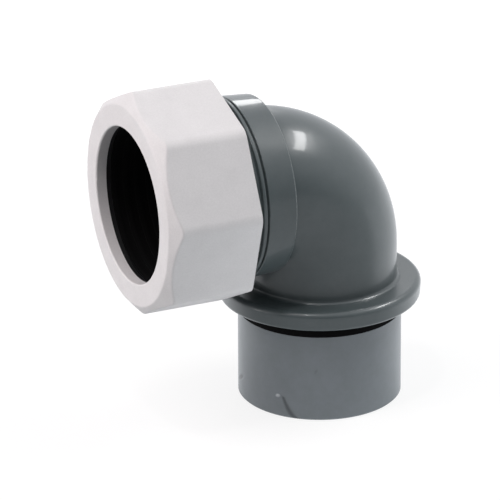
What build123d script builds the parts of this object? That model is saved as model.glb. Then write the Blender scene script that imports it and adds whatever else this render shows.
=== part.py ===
from build123d import *
import math
import os

# A 90 degree drain elbow adapter: a round spigot with a flange points down, and a
# compression inlet with an eight-sided nut points sideways, along -X.
# Millimetres, +Z up. The spigot's axis is Z and its lower end lies on z = 0.
# Along the inlet, d is the distance from the spigot's axis and r the distance from
# the inlet's axis.

# Pipe that the inlet grips
pipe_od = 48.0
pipe_play = 0.28  # room around the pipe in the nut and the socket
seal_play = 0.36  # room between the unsqueezed seal and the pipe

# Spigot and flange
spigot_od = 50.8
spigot_bore = 43.0
spigot_length = 27.8  # plain length below the rubber ring
spigot_lead_in = 0.5  # 45 degree chamfer at the lower end
flange_od = 63.0  # at its upper edge
flange_taper = 0.4  # the rim's lower edge is smaller by this much on the radius
flange_thickness = 6.0
flange_lower_round = 1.2
flange_upper_round = 1.8
flange_root_round = 1.2

# Rubber ring in the neck under the flange
neck_ring_height = 4.35
neck_ring_seat = 1.6  # depth of its groove below the spigot's surface
neck_ring_proud = 0.2
neck_ring_round = 0.5

# Bend
inlet_height = 72.2
bend_od = 47.8
bend_bore = 40.0
bend_radius = 22.9  # of the centre line
bore_taper = 3.5  # length over which the spigot's bore narrows to the bend's

# Collar and stop for the pipe
collar_near = 20.0
collar_length = 9.7
collar_near_height = 0.1  # above the thread's root
collar_far_height = 0.85
collar_near_round = 0.6
collar_far_round = 0.3
stop_wall = 3.5  # wall left between the end of the socket and the collar's near face

# Threaded tube, drawn at the root of its thread
tube_wall = 3.12
bead_height = 1.2  # raised ring where the thread runs out
bead_width = 1.1
bead_gap = 0.8
mouth_round = 0.5

# Seal and its conical seat in the tube's mouth
seat_depth = 13.0
seat_mouth_wall = 1.1
seat_inner_step = 0.8  # shoulder at the small end of the seat
seal_head = 2.2
seal_head_setback = 0.4
seal_fit = 0.05
seal_groove_depth = 0.4
seal_groove_width = 2.2
seal_lip_width = 1.6
seal_groove_count = 3

# Slip ring between the seal and the nut
slip_thickness = 1.6
slip_inner_play = 0.6  # larger than the nut's bore by this much on the radius
face_gap = 0.05  # between faces that rub

# Nut, with its bore drawn at the root of the inner thread
nut_sides = 8
nut_wall = 3.8  # at the middle of a flat
nut_front = 64.3
nut_length = 29.3
nut_lip = 3.5
nut_turned = 5.0  # degrees from a corner straight up
nut_corner_round = 4.5
nut_chamfer_inset = 1.55  # from a flat in to the start of the front chamfer
nut_chamfer_angle = 41.5  # degrees from the front face
nut_thread_depth = 1.25
nut_thread_play = 0.3
nut_chamfer_round = 1.0
nut_lip_round = 0.5
nut_entry_chamfer = 0.8

# Worked out from the sizes above
spigot_r = spigot_od / 2
neck_r = spigot_r - neck_ring_seat
flange_r = flange_od / 2
flange_low = spigot_length + neck_ring_height
flange_high = flange_low + flange_thickness
bend_r = bend_od / 2
bend_bore_r = bend_bore / 2
bend_low = inlet_height - bend_radius
collar_far = collar_near + collar_length
bead_start = collar_far + bead_gap
socket_r = pipe_od / 2 + pipe_play
tube_r = socket_r + tube_wall
bead_r = tube_r + bead_height
collar_near_r = tube_r + collar_near_height
collar_far_r = tube_r + collar_far_height
socket_end = collar_near + stop_wall
nut_lip_face = nut_front - nut_lip
nut_back = nut_front - nut_length
slip_far = nut_lip_face - face_gap
slip_near = slip_far - slip_thickness
seal_far = slip_near - face_gap
mouth = seal_far - seal_head
seat_end = mouth - seat_depth
seat_mouth_r = tube_r - seat_mouth_wall
seat_end_r = socket_r + seat_inner_step
nut_bore_r = tube_r + nut_thread_depth + nut_thread_play
nut_flat_r = nut_bore_r + nut_wall
nut_chamfer_r = nut_flat_r - nut_chamfer_inset

inlet = Plane(origin=(0, 0, inlet_height), x_dir=(-1, 0, 0), z_dir=(0, 1, 0))
inlet_axis = Axis((0, 0, inlet_height), (-1, 0, 0))
bend_axis = Axis((-bend_radius, 0, bend_low), (0, -1, 0))


def profile(points, rounds=()):
    """A flat outline, with a radius at each corner that rounds names."""
    face = make_face(Polyline(points, close=True))
    for corner, radius in rounds:
        face = fillet(face.vertices().sort_by_distance((*corner, 0))[0], radius)
    return face


def turned_on_spigot(points, rounds=()):
    """A solid turned about the spigot's axis from (r, z) points."""
    return revolve(Plane.XZ * profile(points, rounds), Axis.Z)


def turned_on_inlet(points, rounds=()):
    """A solid turned about the inlet's axis from (d, r) points."""
    return revolve(inlet * profile(points, rounds), inlet_axis)


def swept_bend(radius):
    """A quarter bend of a round section, cut off where it would cross its own axis."""
    behind_axis = Pos(-bend_radius - radius, 0) * Rectangle(2 * radius, 4 * radius)
    section = Circle(radius) - behind_axis
    return revolve(Plane.XY.offset(bend_low) * section, bend_axis, 90)


def make_elbow_body():
    """One grey moulding: spigot, flange, bend, collar and the inlet's threaded tube."""
    foot = turned_on_spigot(
        [
            (0, 0),
            (spigot_r - spigot_lead_in, 0),
            (spigot_r, spigot_lead_in),
            (spigot_r, spigot_length),
            (neck_r, spigot_length),
            (neck_r, flange_low),
            (flange_r - flange_taper, flange_low),
            (flange_r, flange_high),
            (bend_r, flange_high),
            (bend_r, bend_low),
            (0, bend_low),
        ],
        [
            ((flange_r - flange_taper, flange_low), flange_lower_round),
            ((flange_r, flange_high), flange_upper_round),
            ((bend_r, flange_high), flange_root_round),
        ],
    )
    arm = turned_on_inlet(
        [
            (collar_near, 0),
            (collar_near, collar_near_r),
            (collar_far, collar_far_r),
            (collar_far, tube_r),
            (bead_start, tube_r),
            (bead_start, bead_r),
            (bead_start + bead_width, bead_r),
            (bead_start + bead_width, tube_r),
            (mouth, tube_r),
            (mouth, 0),
        ],
        [
            ((collar_near, collar_near_r), collar_near_round),
            ((collar_far, collar_far_r), collar_far_round),
            ((bead_start, bead_r), 0.3 * bead_width),
            ((bead_start + bead_width, bead_r), 0.3 * bead_width),
            ((mouth, tube_r), mouth_round),
        ],
    )
    foot_bore = turned_on_spigot(
        [
            (0, 0),
            (spigot_bore / 2, 0),
            (spigot_bore / 2, flange_high - bore_taper),
            (bend_bore_r, flange_high),
            (bend_bore_r, bend_low),
            (0, bend_low),
        ]
    )
    arm_bore = turned_on_inlet(
        [
            (collar_near, 0),
            (collar_near, bend_bore_r),
            (socket_end, bend_bore_r),
            (socket_end, socket_r),
            (seat_end, socket_r),
            (seat_end, seat_end_r),
            (mouth, seat_mouth_r),
            (mouth, 0),
        ]
    )
    outside = foot + swept_bend(bend_r) + arm
    return outside - foot_bore - swept_bend(bend_bore_r) - arm_bore


def make_spigot_seal():
    """A flat rubber ring stretched into the neck, a little proud of the spigot."""
    outer_r = spigot_r + neck_ring_proud
    return turned_on_spigot(
        [
            (neck_r, spigot_length),
            (outer_r, spigot_length),
            (outer_r, flange_low),
            (neck_r, flange_low),
        ],
        [
            ((outer_r, spigot_length), neck_ring_round),
            ((outer_r, flange_low), neck_ring_round),
        ],
    )


def make_inlet_seal():
    """A tapered rubber sleeve with a head, and grooves inside that leave lips."""
    inner_r = pipe_od / 2 + seal_play
    groove_r = inner_r + seal_groove_depth
    sleeve = turned_on_inlet(
        [
            (seat_end + seal_fit, inner_r),
            (seat_end + seal_fit, seat_end_r - seal_fit),
            (mouth, seat_mouth_r - seal_fit),
            (mouth, tube_r - seal_head_setback),
            (seal_far, tube_r - seal_head_setback),
            (seal_far, inner_r),
        ]
    )
    for step in range(seal_groove_count):
        start = seal_far - seal_lip_width - step * (seal_groove_width + seal_lip_width)
        sleeve -= turned_on_inlet(
            [
                (start, inner_r - seal_fit),
                (start - seal_groove_width, inner_r - seal_fit),
                (start - seal_groove_width, groove_r),
                (start, groove_r),
            ]
        )
    return sleeve


def make_slip_ring():
    """A thin plastic washer that lets the nut turn without dragging the rubber."""
    return turned_on_inlet(
        [
            (slip_near, socket_r + slip_inner_play),
            (slip_near, tube_r),
            (slip_far, tube_r),
            (slip_far, socket_r + slip_inner_play),
        ]
    )


def make_compression_nut():
    """An eight-sided cap nut with a conical front chamfer and a bore for the pipe."""
    back = Plane(origin=(-nut_back, 0, inlet_height), x_dir=(0, 0, 1), z_dir=(-1, 0, 0))
    outline = RegularPolygon(nut_flat_r, nut_sides, major_radius=False, rotation=nut_turned)
    prism = extrude(back * fillet(outline.vertices(), nut_corner_round), nut_length)
    reach = 2 * nut_flat_r
    chamfer_drop = (reach - nut_chamfer_r) * math.tan(math.radians(nut_chamfer_angle))
    envelope = turned_on_inlet(
        [
            (nut_back, 0),
            (nut_back, reach),
            (nut_front - chamfer_drop, reach),
            (nut_front, nut_chamfer_r),
            (nut_front, 0),
        ]
    )
    blank = prism & envelope
    chamfer_face = blank.faces().filter_by(GeomType.CONE)[0]
    blank = fillet(chamfer_face.edges(), nut_chamfer_round)
    hollow = turned_on_inlet(
        [
            (nut_back, 0),
            (nut_back, nut_bore_r + nut_entry_chamfer),
            (nut_back + nut_entry_chamfer, nut_bore_r),
            (nut_lip_face, nut_bore_r),
            (nut_lip_face, socket_r),
            (nut_front, socket_r),
            (nut_front, 0),
        ]
    )
    nut = blank - hollow
    mouth_rim = nut.edges().filter_by(GeomType.CIRCLE).group_by(Axis.X)[0].sort_by(SortBy.RADIUS)[0]
    return fillet(mouth_rim, nut_lip_round)


os.makedirs("parts", exist_ok=True)
export_step(make_elbow_body(), "parts/elbow_body.step")
export_step(make_spigot_seal(), "parts/spigot_seal.step")
export_step(make_inlet_seal(), "parts/inlet_seal.step")
export_step(make_slip_ring(), "parts/slip_ring.step")
export_step(make_compression_nut(), "parts/compression_nut.step")
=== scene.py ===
import math

import bmesh
import bpy
from mathutils import Matrix, Vector


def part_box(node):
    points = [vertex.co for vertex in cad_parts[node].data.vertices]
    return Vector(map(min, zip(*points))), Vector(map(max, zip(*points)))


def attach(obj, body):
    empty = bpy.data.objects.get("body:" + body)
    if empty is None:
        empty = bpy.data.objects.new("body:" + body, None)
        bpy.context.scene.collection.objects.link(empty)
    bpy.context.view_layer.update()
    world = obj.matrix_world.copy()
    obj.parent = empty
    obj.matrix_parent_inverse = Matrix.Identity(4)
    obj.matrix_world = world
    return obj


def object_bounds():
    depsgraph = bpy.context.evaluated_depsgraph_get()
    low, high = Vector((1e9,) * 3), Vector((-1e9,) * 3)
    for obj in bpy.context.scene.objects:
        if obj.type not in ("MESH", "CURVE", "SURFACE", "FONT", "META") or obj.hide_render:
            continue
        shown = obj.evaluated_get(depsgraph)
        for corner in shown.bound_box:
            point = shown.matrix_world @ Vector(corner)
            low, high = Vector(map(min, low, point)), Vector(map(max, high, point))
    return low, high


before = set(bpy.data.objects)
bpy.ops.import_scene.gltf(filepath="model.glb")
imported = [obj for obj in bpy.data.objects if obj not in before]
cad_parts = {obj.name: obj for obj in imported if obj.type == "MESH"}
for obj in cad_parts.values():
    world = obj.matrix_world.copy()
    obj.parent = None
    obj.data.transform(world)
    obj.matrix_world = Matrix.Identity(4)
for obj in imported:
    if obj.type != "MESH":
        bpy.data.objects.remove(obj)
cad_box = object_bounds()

# Elbow body: one injection moulding in grey rigid PVC, from the plain spigot at the foot
# through the flange and the bend to the threaded tube under the nut. The bend, collar
# and flange keep the polish of the mould, and the spigot is left duller for the joint.
MM = 0.001
ring_low, ring_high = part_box("spigot_seal")
spigot_radius = 25.4 * MM
polished_greys = ("#444e4f", "#545c5e")
# The spigot's lighter grey stands partly for its matt skin and partly for painted light from the
# floor beside it
dull_and_lit_greys = ("#646c6d", "#767c82")
# Darkens the scuff as real wear, and the scratch and the nick as painted shade in their grooves
scuff_and_groove_shade_grey = "#4a4f52"
# Painted highlight: this pale grey stands for light on the blister's raised side
blister_highlight_grey = "#abb0b4"
polished_roughness = 0.3
spigot_roughness = 0.45
uneven_roughness = 0.06  # added where the grey is lightest
mottle_size = 5 * MM
shrink_wave_size = 9 * MM
mark_depths = (1.2 * MM, 0.7 * MM)  # under the spigot's surface, where no mark and a full mark is
scratch_foot = math.radians(-128.7)  # angle around the spigot, from +X, at its lower end
scratch_bow = math.radians(-4.75) / math.sqrt(MM)  # turn of that angle with the root of the height
scratch_top = 7.2 * MM
scratch_fade = 0.6 * MM
scratch_half_widths = (1.8 * MM, 0.75 * MM)  # at the lower end and at the top
# Strokes on the spigot: angle, height, slant from upright, half length and half width
nick = (math.radians(171.5), 6.6 * MM, math.radians(-60), 4.2 * MM, 1.1 * MM)
scuff = (math.radians(-117.6), 16.4 * MM, math.radians(-30), 1.3 * MM, 0.5 * MM)
blister = (math.radians(-145.3), 6.9 * MM, math.radians(-75), 1.15 * MM, 0.75 * MM)
stroke_core = 0.3  # share of a stroke, from its middle, that is at full strength
scuff_strength = 0.3


def linear(code):
    """A '#rrggbb' sRGB colour as the linear RGBA that shaders take."""
    channels = [int(code[i:i + 2], 16) / 255 for i in (1, 3, 5)]
    return [c / 12.92 if c <= 0.04045 else ((c + 0.055) / 1.055) ** 2.4 for c in channels] + [1.0]


def add_node(tree, kind, settings=None, **inputs):
    """A shader node with its settings. Each input is a value, or the socket that feeds it.

    An input goes by its name, with _ for a space, or by i and its place: a colour mix has
    its factor at i0 and its colours at i6 and i7, a mix of numbers has them at i2 and i3.
    """
    node = tree.nodes.new(kind)
    for name, value in (settings or {}).items():
        setattr(node, name, value)
    for name, value in inputs.items():
        by_place = name[0] == "i" and name[1:].isdigit()
        socket = node.inputs[int(name[1:]) if by_place else name.replace("_", " ")]
        if isinstance(value, bpy.types.NodeSocket):
            tree.links.new(value, socket)
        else:
            socket.default_value = value
    return node


def new_material(name, **surface):
    """A material, its node tree and its Principled shader, which has the given values."""
    material = bpy.data.materials.new(name)
    material.use_nodes = True
    tree = material.node_tree
    shader = tree.nodes["Principled BSDF"]
    for socket, value in surface.items():
        shader.inputs[socket.replace("_", " ")].default_value = value
    return material, tree, shader


def dress(node, material):
    """Gives a node of the frame this material alone."""
    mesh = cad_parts[node].data
    mesh.materials.clear()
    mesh.materials.append(material)


# Moulded grey PVC: the eye sees a dark grey satin under a thin polish, with a faint waviness
# in the reflections where the skin shrank. The spigot is a duller grey. Its grey is lighter partly
# because of its matt skin and partly as painted light from the floor beside it. It has a bowed
# scratch up from its end with a blister beside it, a nick and a faint scuff. The scratch and the
# nick are darkened with painted shade in their grooves, and the blister is paled with a painted
# highlight.
pvc, tree, shader = new_material(
    "moulded_grey_pvc", IOR=1.53, Coat_Weight=0.35, Coat_Roughness=0.08,
)
place = add_node(tree, "ShaderNodeTexCoord").outputs["Object"]
axes = add_node(tree, "ShaderNodeSeparateXYZ", Vector=place).outputs
on_spigot = add_node(
    tree, "ShaderNodeMapRange", {"interpolation_type": "SMOOTHSTEP"},
    Value=axes["Z"], From_Min=ring_high.z, From_Max=ring_low.z,
).outputs["Result"]
mottle = add_node(
    tree, "ShaderNodeTexNoise", Vector=place, Scale=1 / mottle_size, Detail=6.0, Roughness=0.7,
).outputs["Fac"]

# Where the marks may be: on the outer wall of the spigot, and not inside its bore
across = add_node(tree, "ShaderNodeCombineXYZ", X=axes["X"], Y=axes["Y"]).outputs["Vector"]
from_axis = add_node(
    tree, "ShaderNodeVectorMath", {"operation": "LENGTH"}, i0=across,
).outputs["Value"]
on_outside = add_node(
    tree, "ShaderNodeMapRange", Value=from_axis,
    From_Min=spigot_radius - mark_depths[0], From_Max=spigot_radius - mark_depths[1],
).outputs["Result"]

# Scratch: its angle around the spigot moves on with the root of the height, and it narrows
angle = add_node(
    tree, "ShaderNodeMath", {"operation": "ARCTAN2"}, i0=axes["Y"], i1=axes["X"],
).outputs["Value"]
scratch_rise = add_node(
    tree, "ShaderNodeMath", {"operation": "SQRT"}, i0=axes["Z"],
).outputs["Value"]
scratch_angle = add_node(
    tree, "ShaderNodeMath", {"operation": "MULTIPLY_ADD"},
    i0=scratch_rise, i1=scratch_bow, i2=scratch_foot,
).outputs["Value"]
scratch_offset = add_node(
    tree, "ShaderNodeMath", {"operation": "SUBTRACT"}, i0=angle, i1=scratch_angle,
).outputs["Value"]
scratch_offset = add_node(
    tree, "ShaderNodeMath", {"operation": "ABSOLUTE"}, i0=scratch_offset,
).outputs["Value"]
scratch_half = add_node(
    tree, "ShaderNodeMapRange", Value=axes["Z"], From_Max=scratch_top,
    To_Min=scratch_half_widths[0] / spigot_radius, To_Max=scratch_half_widths[1] / spigot_radius,
).outputs["Result"]
scratch_mask = add_node(
    tree, "ShaderNodeMapRange", {"interpolation_type": "SMOOTHSTEP"},
    Value=scratch_offset, From_Max=scratch_half, To_Min=1.0, To_Max=0.0,
).outputs["Result"]
below_top = add_node(
    tree, "ShaderNodeMapRange",
    Value=axes["Z"], From_Min=scratch_top, From_Max=scratch_top - scratch_fade,
).outputs["Result"]
for limit in (below_top, on_outside):
    scratch_mask = add_node(
        tree, "ShaderNodeMath", {"operation": "MULTIPLY"}, i0=scratch_mask, i1=limit,
    ).outputs["Value"]

# Strokes: soft ovals on the spigot's wall rolled out flat
arc = add_node(
    tree, "ShaderNodeMath", {"operation": "MULTIPLY"}, i0=angle, i1=spigot_radius,
).outputs["Value"]
unrolled = add_node(tree, "ShaderNodeCombineXYZ", X=arc, Y=axes["Z"]).outputs["Vector"]
stroke_masks = []
for stroke_angle, height, slant, half_length, half_width in (nick, scuff, blister):
    local = add_node(
        tree, "ShaderNodeMapping", {"vector_type": "TEXTURE"}, Vector=unrolled,
        Location=(stroke_angle * spigot_radius, height, 0), Rotation=(0, 0, slant),
        Scale=(half_width, half_length, 1),
    ).outputs["Vector"]
    reach = add_node(
        tree, "ShaderNodeVectorMath", {"operation": "LENGTH"}, i0=local,
    ).outputs["Value"]
    stroke = add_node(
        tree, "ShaderNodeMapRange", {"interpolation_type": "SMOOTHSTEP"},
        Value=reach, From_Min=stroke_core, From_Max=1.0, To_Min=1.0, To_Max=0.0,
    ).outputs["Result"]
    stroke = add_node(
        tree, "ShaderNodeMath", {"operation": "MULTIPLY"}, i0=stroke, i1=on_outside,
    ).outputs["Value"]
    stroke_masks.append(stroke)
nick_mask, scuff_mask, blister_and_highlight_mask = stroke_masks
# The scratch and the nick get painted shade in their grooves, and the scuff a faint real darkening
cut_mask = add_node(
    tree, "ShaderNodeMath", {"operation": "MAXIMUM"}, i0=scratch_mask, i1=nick_mask,
).outputs["Value"]
scuff_and_groove_shade_mask = add_node(
    tree, "ShaderNodeMath", {"operation": "MULTIPLY_ADD"},
    i0=scuff_mask, i1=scuff_strength, i2=cut_mask,
).outputs["Value"]

polished, dull_and_lit_grey = [
    add_node(
        tree, "ShaderNodeMix", {"data_type": "RGBA"},
        i0=mottle, i6=linear(dark), i7=linear(light),
    ).outputs[2]
    for dark, light in (polished_greys, dull_and_lit_greys)
]
grey = polished
# The spigot's grey is partly painted light, the scratch and the nick get painted shade, and the
# blister gets a painted highlight
for mask, tone in (
    (on_spigot, dull_and_lit_grey), (scuff_and_groove_shade_mask, linear(scuff_and_groove_shade_grey)), (blister_and_highlight_mask, linear(blister_highlight_grey)),
):
    grey = add_node(
        tree, "ShaderNodeMix", {"data_type": "RGBA"}, i0=mask, i6=grey, i7=tone,
    ).outputs[2]
tree.links.new(grey, shader.inputs["Base Color"])
dullness = add_node(
    tree, "ShaderNodeMapRange", Value=on_spigot, To_Min=polished_roughness, To_Max=spigot_roughness,
).outputs["Result"]
dullness = add_node(
    tree, "ShaderNodeMath", {"operation": "MULTIPLY_ADD"},
    i0=mottle, i1=uneven_roughness, i2=dullness,
).outputs["Value"]
tree.links.new(dullness, shader.inputs["Roughness"])
shrink_wave = add_node(
    tree, "ShaderNodeTexNoise",
    Vector=place, Scale=1 / shrink_wave_size, Detail=1.0, Roughness=0.4,
).outputs["Fac"]
skin = add_node(
    tree, "ShaderNodeBump", Height=shrink_wave, Strength=0.05, Distance=0.3 * MM,
).outputs["Normal"]
relief = add_node(
    tree, "ShaderNodeMath", {"operation": "SUBTRACT"}, i0=blister_and_highlight_mask, i1=cut_mask,
).outputs["Value"]
marked = add_node(
    tree, "ShaderNodeBump", Height=relief, Strength=0.7, Distance=0.4 * MM, Normal=skin,
).outputs["Normal"]
tree.links.new(marked, shader.inputs["Normal"])
dress("elbow_body", pvc)

# Thread of the tube: a right-hand trapezoid ridge of 3 mm pitch, moulded with the elbow.
# It fades in short of the raised ring beside the collar and fades out at the tube's mouth.
slip_low, slip_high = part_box("slip_ring")
inlet_height = (slip_low.z + slip_high.z) / 2
tube_radius = 27.4 * MM
thread_pitch = 3.0 * MM
thread_seat = 0.05 * MM  # depth of a ridge's foot in the wall that carries it
thread_fade = math.radians(120)  # turn in which an end of a ridge grows to its full height
thread_end = 0.03  # share of that height that the end itself has
steps_per_turn = 72
tube_thread_height = 1.25 * MM
tube_thread_widths = (2.0 * MM, 0.8 * MM)  # at the foot and at the crest


def add_thread(name, start, end, root, crest, lead, material):
    """A ridge wound around the inlet's axis. root and crest are (radius, width) of its section.

    start and end are distances from the spigot's axis, and lead moves the ridge along the inlet.
    """
    root_radius, root_width = root
    full_radius, crest_width = crest
    first = 2 * math.pi * (start - lead) / thread_pitch
    last = 2 * math.pi * (end - lead) / thread_pitch
    count = round((last - first) / (2 * math.pi) * steps_per_turn)
    ridge = bmesh.new()
    rings = []
    for step in range(count + 1):
        turn = first + (last - first) * step / count
        grown = min(1.0, (turn - first) / thread_fade, (last - turn) / thread_fade)
        crest_radius = root_radius + (full_radius - root_radius) * max(thread_end, grown)
        along = lead + thread_pitch * turn / (2 * math.pi)
        section = (
            (root_radius, -root_width),
            (crest_radius, -crest_width),
            (crest_radius, crest_width),
            (root_radius, root_width),
        )
        rings.append([
            ridge.verts.new((
                -along - width / 2,
                radius * math.sin(turn),
                inlet_height + radius * math.cos(turn),
            ))
            for radius, width in section
        ])
    for near, far in zip(rings, rings[1:]):
        for side in range(len(near)):
            ridge.faces.new((near[side], near[side - 1], far[side - 1], far[side]))
    ridge.faces.new(rings[0])
    ridge.faces.new(rings[-1][::-1])
    bmesh.ops.recalc_face_normals(ridge, faces=ridge.faces)
    mesh = bpy.data.meshes.new(name)
    ridge.to_mesh(mesh)
    ridge.free()
    mesh.materials.append(material)
    piece = bpy.data.objects.new(name, mesh)
    bpy.context.scene.collection.objects.link(piece)
    return piece


tube_thread = add_thread(
    "tube_thread", start=36.0 * MM, end=55.4 * MM,
    root=(tube_radius - thread_seat, tube_thread_widths[0]),
    crest=(tube_radius + tube_thread_height, tube_thread_widths[1]),
    lead=0.0, material=pvc,
)
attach(tube_thread, "elbow")

# Spigot seal and inlet seal: moulded black rubber. The first is a flat ring stretched into
# the neck under the flange, the second a tapered sleeve in the mouth of the threaded tube.
rubber_blacks = ("#040405", "#09090a")
bloom_size = 4 * MM

# Moulded black rubber: the eye sees almost no shine, only a faint cloudiness of bloom.
rubber, tree, shader = new_material(
    "moulded_black_rubber", Roughness=0.85, IOR=1.5, Specular_IOR_Level=0.1,
)
place = add_node(tree, "ShaderNodeTexCoord").outputs["Object"]
bloom = add_node(
    tree, "ShaderNodeTexNoise", Vector=place, Scale=1 / bloom_size, Detail=2.0,
).outputs["Fac"]
black = add_node(
    tree, "ShaderNodeMix", {"data_type": "RGBA"},
    i0=bloom, i6=linear(rubber_blacks[0]), i7=linear(rubber_blacks[1]),
).outputs[2]
tree.links.new(black, shader.inputs["Base Color"])
for seal in ("spigot_seal", "inlet_seal"):
    dress(seal, rubber)

# Slip ring: a thin moulded washer of dark polypropylene behind the lip of the nut. It lies
# loose between the nut and the seal, so that the nut turns without dragging the rubber.
slip_black = "#141416"
slip_roughnesses = (0.4, 0.55)
sheen_size = 3 * MM

# Smooth dark polypropylene: the eye sees a soft, slightly uneven sheen.
dark_plastic, tree, shader = new_material(
    "smooth_dark_polypropylene", Base_Color=linear(slip_black), IOR=1.49,
)
place = add_node(tree, "ShaderNodeTexCoord").outputs["Object"]
sheen = add_node(
    tree, "ShaderNodeTexNoise", Vector=place, Scale=1 / sheen_size, Detail=2.0,
).outputs["Fac"]
sheen = add_node(
    tree, "ShaderNodeMapRange", Value=sheen, To_Min=slip_roughnesses[0], To_Max=slip_roughnesses[1],
).outputs["Result"]
tree.links.new(sheen, shader.inputs["Roughness"])
dress("slip_ring", dark_plastic)

# Compression nut: moulded in pale grey ABS in a spark-eroded mould, which leaves an even,
# fine matt skin. It screws on the tube and squeezes the seal.
nut_greys = ("#dcdbdb", "#e6e5e5")
grain_size = 0.5 * MM
grain_share = 1.2  # of the grain in the colour, against 1 of the clouds
tone_range = (0.7, 1.5)  # sum of the two that gives the darkest and the palest grey
cloud_size = 8 * MM

# Spark-eroded pale grey ABS: the eye sees a soft, even skin with a grain of about half a
# millimetre, drawn coarser than the real one so that it shows.
nut_plastic, tree, shader = new_material("spark_eroded_pale_grey_abs", Roughness=0.55, IOR=1.54)
place = add_node(tree, "ShaderNodeTexCoord").outputs["Object"]
grain = add_node(
    tree, "ShaderNodeTexNoise", Vector=place, Scale=1 / grain_size, Detail=2.0, Roughness=0.6,
).outputs["Fac"]
cloud = add_node(
    tree, "ShaderNodeTexNoise", Vector=place, Scale=1 / cloud_size, Detail=2.0,
).outputs["Fac"]
tone = add_node(
    tree, "ShaderNodeMath", {"operation": "MULTIPLY_ADD"}, i0=grain, i1=grain_share, i2=cloud,
).outputs["Value"]
pale = add_node(
    tree, "ShaderNodeMapRange", Value=tone, From_Min=tone_range[0], From_Max=tone_range[1],
).outputs["Result"]
pale = add_node(
    tree, "ShaderNodeMix", {"data_type": "RGBA"},
    i0=pale, i6=linear(nut_greys[0]), i7=linear(nut_greys[1]),
).outputs[2]
tree.links.new(pale, shader.inputs["Base Color"])
eroded = add_node(
    tree, "ShaderNodeBump", Height=grain, Strength=0.2, Distance=0.05 * MM,
).outputs["Normal"]
tree.links.new(eroded, shader.inputs["Normal"])
dress("compression_nut", nut_plastic)

# Thread of the nut: the mating ridge, moulded inside it half a pitch from the tube's, with
# 0.2 mm of room on each flank.
nut_bore_radius = 28.95 * MM
nut_thread_height = 1.2 * MM
nut_thread_widths = (2.1 * MM, 0.94 * MM)  # at the foot and at the crest
nut_thread = add_thread(
    "nut_thread", start=37.0 * MM, end=57.5 * MM,
    root=(nut_bore_radius + thread_seat, nut_thread_widths[0]),
    crest=(nut_bore_radius - nut_thread_height, nut_thread_widths[1]),
    lead=thread_pitch / 2, material=nut_plastic,
)
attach(nut_thread, "nut")

# Studio: a pale floor in a white surround that darkens towards the side of the room where the
# camera stands. Two soft lamps light the nut from its open side. A small one beside them, a long
# one above the bend and a close one behind give the glints on the flange, bend and collar.
middle = (Vector(cad_box[0]) + Vector(cad_box[1])) / 2


def add_area_light(name, direction, distance, size, power, tint="#ffffff"):
    """A soft lamp that faces the object's middle from this direction and distance."""
    lamp = bpy.data.lights.new(name, "AREA")
    lamp.shape = "RECTANGLE"
    lamp.size, lamp.size_y = size
    lamp.energy = power
    lamp.color = linear(tint)[:3]
    holder = bpy.data.objects.new(name, lamp)
    holder.location = middle + Vector(direction).normalized() * distance
    holder.rotation_euler = (middle - holder.location).to_track_quat("-Z", "Y").to_euler()
    holder.visible_camera = False
    bpy.context.scene.collection.objects.link(holder)


add_area_light(
    "key_softbox", direction=(-0.64, -0.02, 0.77), distance=0.9,
    size=(0.6, 0.6), power=2.5, tint="#ffeced",
)
add_area_light(
    "front_softbox", direction=(-0.97, 0.15, 0.2), distance=0.9,
    size=(0.3, 0.3), power=2.95, tint="#fffbfb",
)
add_area_light(
    "corner_softbox", direction=(-0.29, -0.26, 0.92), distance=0.8, size=(0.06, 0.06), power=0.65,
)
add_area_light(
    "window_softbox", direction=(0.64, -0.05, 0.77), distance=0.8, size=(0.42, 0.085), power=2.2,
)
add_area_light(
    "back_softbox", direction=(0.385, 0.735, 0.56), distance=0.33, size=(0.026, 0.06), power=0.048,
)

# Surround: plain white to the camera. Gloss shows it at its own level, and matt surfaces are
# lit by about half of that.
surround_tint = "#f9fbff"
bright_side = (0.35, 1.0, 0.8)  # the way to the bright side of the room
room_range = (-0.95, 0.3)  # how far that way the level starts to rise and is full
dim_level = 0.07
matt_share = 0.47
world = bpy.data.worlds.new("white_surround")
bpy.context.scene.world = world
world.use_nodes = True
tree = world.node_tree
direction = add_node(tree, "ShaderNodeTexCoord").outputs["Generated"]
level = add_node(
    tree, "ShaderNodeVectorMath", {"operation": "DOT_PRODUCT"}, i0=direction, i1=bright_side,
).outputs["Value"]
level = add_node(
    tree, "ShaderNodeMapRange", {"interpolation_type": "SMOOTHSTEP"},
    Value=level, From_Min=room_range[0], From_Max=room_range[1], To_Min=dim_level, To_Max=1.0,
).outputs["Result"]
rays = add_node(tree, "ShaderNodeLightPath").outputs
mirrored = add_node(
    tree, "ShaderNodeMath", {"operation": "MAXIMUM"},
    i0=rays["Is Glossy Ray"], i1=rays["Is Transmission Ray"],
).outputs["Value"]
strength = add_node(
    tree, "ShaderNodeMapRange", Value=mirrored, To_Min=matt_share, To_Max=1.0,
).outputs["Result"]
strength = add_node(
    tree, "ShaderNodeMath", {"operation": "MULTIPLY"}, i0=strength, i1=level,
).outputs["Value"]
strength = add_node(
    tree, "ShaderNodeMath", {"operation": "MAXIMUM"}, i0=strength, i1=rays["Is Camera Ray"],
).outputs["Value"]
tint = add_node(
    tree, "ShaderNodeMix", {"data_type": "RGBA"},
    i0=rays["Is Camera Ray"], i6=linear(surround_tint), i7=linear("#ffffff"),
).outputs[2]
background = tree.nodes["Background"]
tree.links.new(strength, background.inputs["Strength"])
tree.links.new(tint, background.inputs["Color"])

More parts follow.
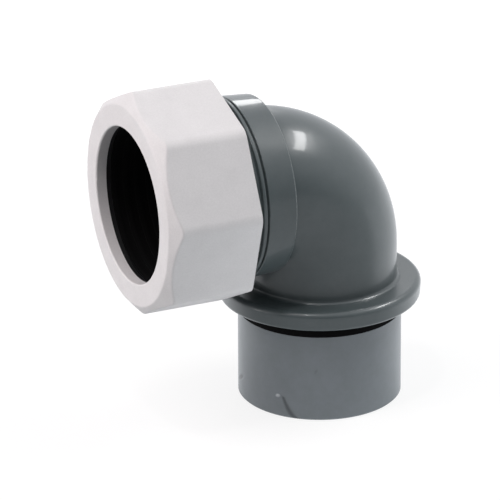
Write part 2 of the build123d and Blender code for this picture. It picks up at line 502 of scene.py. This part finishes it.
# Floor: a painted sheet that glows a little, so that it looks white and still takes a shadow.
floor_half = 1.5
floor_grey = "#808080"
glow_tint = "#f8fbff"
seen_glow = (0.8, 1.0)  # to the camera, beside the object and far from it
seen_range = (150 * MM, 400 * MM)  # from the nut, where one goes over to the other
back_way = (0.5, 1.0, 0.0)
back_glow = (0.3, 1.0)  # in reflections, in front of the object and behind it
back_range = (-50 * MM, 20 * MM)  # along back_way
foot_glow = 1.15  # on matt surfaces, from under the spigot
foot_range = (-130 * MM, -10 * MM)  # along X, where that glow starts and is full
under_nut = (-50 * MM, 0, 0)
nut_shade_range = (15 * MM, 60 * MM)  # from there, where the shade of the nut ends
floor_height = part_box("elbow_body")[0].z
floor_corners = ((-1, -1), (1, -1), (1, 1), (-1, 1))
floor_mesh = bpy.data.meshes.new("studio_floor")
floor_mesh.from_pydata(
    [(x * floor_half, y * floor_half, floor_height) for x, y in floor_corners], [], [(0, 1, 2, 3)],
)
floor = bpy.data.objects.new("studio_floor", floor_mesh)
bpy.context.scene.collection.objects.link(floor)
floor_paint, tree, shader = new_material(
    "pale_floor_paint", Base_Color=linear(floor_grey), Roughness=0.9,
)
floor_mesh.materials.append(floor_paint)
rays = add_node(tree, "ShaderNodeLightPath").outputs
mirrored = add_node(
    tree, "ShaderNodeMath", {"operation": "MAXIMUM"},
    i0=rays["Is Glossy Ray"], i1=rays["Is Transmission Ray"],
).outputs["Value"]
place = add_node(tree, "ShaderNodeTexCoord").outputs["Object"]
axes = add_node(tree, "ShaderNodeSeparateXYZ", Vector=place).outputs
behind = add_node(
    tree, "ShaderNodeVectorMath", {"operation": "DOT_PRODUCT"}, i0=place, i1=back_way,
).outputs["Value"]
behind = add_node(
    tree, "ShaderNodeMapRange", {"interpolation_type": "SMOOTHSTEP"}, Value=behind,
    From_Min=back_range[0], From_Max=back_range[1], To_Min=back_glow[0], To_Max=back_glow[1],
).outputs["Result"]
# On matt surfaces the floor glows like a lamp: full under and behind the spigot, none beyond the
# nut's side
under = add_node(
    tree, "ShaderNodeMapRange", {"interpolation_type": "SMOOTHSTEP"}, Value=axes["X"],
    From_Min=foot_range[0], From_Max=foot_range[1], To_Min=0.0, To_Max=foot_glow,
).outputs["Result"]
# Painted shadow: this glow is dimmed around the spot under the nut, standing in for the nut's
# shadow on the floor
from_nut = add_node(
    tree, "ShaderNodeVectorMath", {"operation": "DISTANCE"}, i0=place, i1=under_nut,
).outputs["Value"]
shade = add_node(
    tree, "ShaderNodeMapRange", {"interpolation_type": "SMOOTHSTEP"},
    Value=from_nut, From_Min=nut_shade_range[0], From_Max=nut_shade_range[1],
).outputs["Result"]
under = add_node(
    tree, "ShaderNodeMath", {"operation": "MULTIPLY"}, i0=under, i1=shade,
).outputs["Value"]
seen = add_node(
    tree, "ShaderNodeMapRange", {"interpolation_type": "SMOOTHSTEP"}, Value=from_nut,
    From_Min=seen_range[0], From_Max=seen_range[1], To_Min=seen_glow[0], To_Max=seen_glow[1],
).outputs["Result"]
glow = add_node(
    tree, "ShaderNodeMix", {"data_type": "FLOAT"}, i0=mirrored, i2=under, i3=behind,
).outputs[0]
glow = add_node(
    tree, "ShaderNodeMix", {"data_type": "FLOAT"}, i0=rays["Is Camera Ray"], i2=glow, i3=seen,
).outputs[0]
tint = add_node(
    tree, "ShaderNodeMix", {"data_type": "RGBA"},
    i0=rays["Is Camera Ray"], i6=linear(glow_tint), i7=linear("#ffffff"),
).outputs[2]
tree.links.new(tint, shader.inputs["Emission Color"])
tree.links.new(glow, shader.inputs["Emission Strength"])

# Camera: a long lens at the photograph's angle, fitted to the outlines.
camera_azimuth = math.radians(-24.29)
camera_elevation = math.radians(22.60)
camera_roll = math.radians(-0.29)
camera_distance = 1533 * MM
camera_target = Vector((-23.57, 0, 50.48)) * MM
lens = bpy.data.cameras.new("long_lens")
lens.sensor_width = 36
lens.lens = 359.6
lens.clip_end = 10
camera = bpy.data.objects.new("camera", lens)
aim = (
    Matrix.Rotation(camera_azimuth, 4, "Z")
    @ Matrix.Rotation(math.radians(90) - camera_elevation, 4, "X")
    @ Matrix.Rotation(camera_roll, 4, "Z")
)
setback = Matrix.Translation((0, 0, camera_distance))
camera.matrix_world = Matrix.Translation(camera_target) @ aim @ setback
bpy.context.scene.collection.objects.link(camera)
bpy.context.scene.camera = camera

bpy.context.scene.view_settings.view_transform = "Standard"
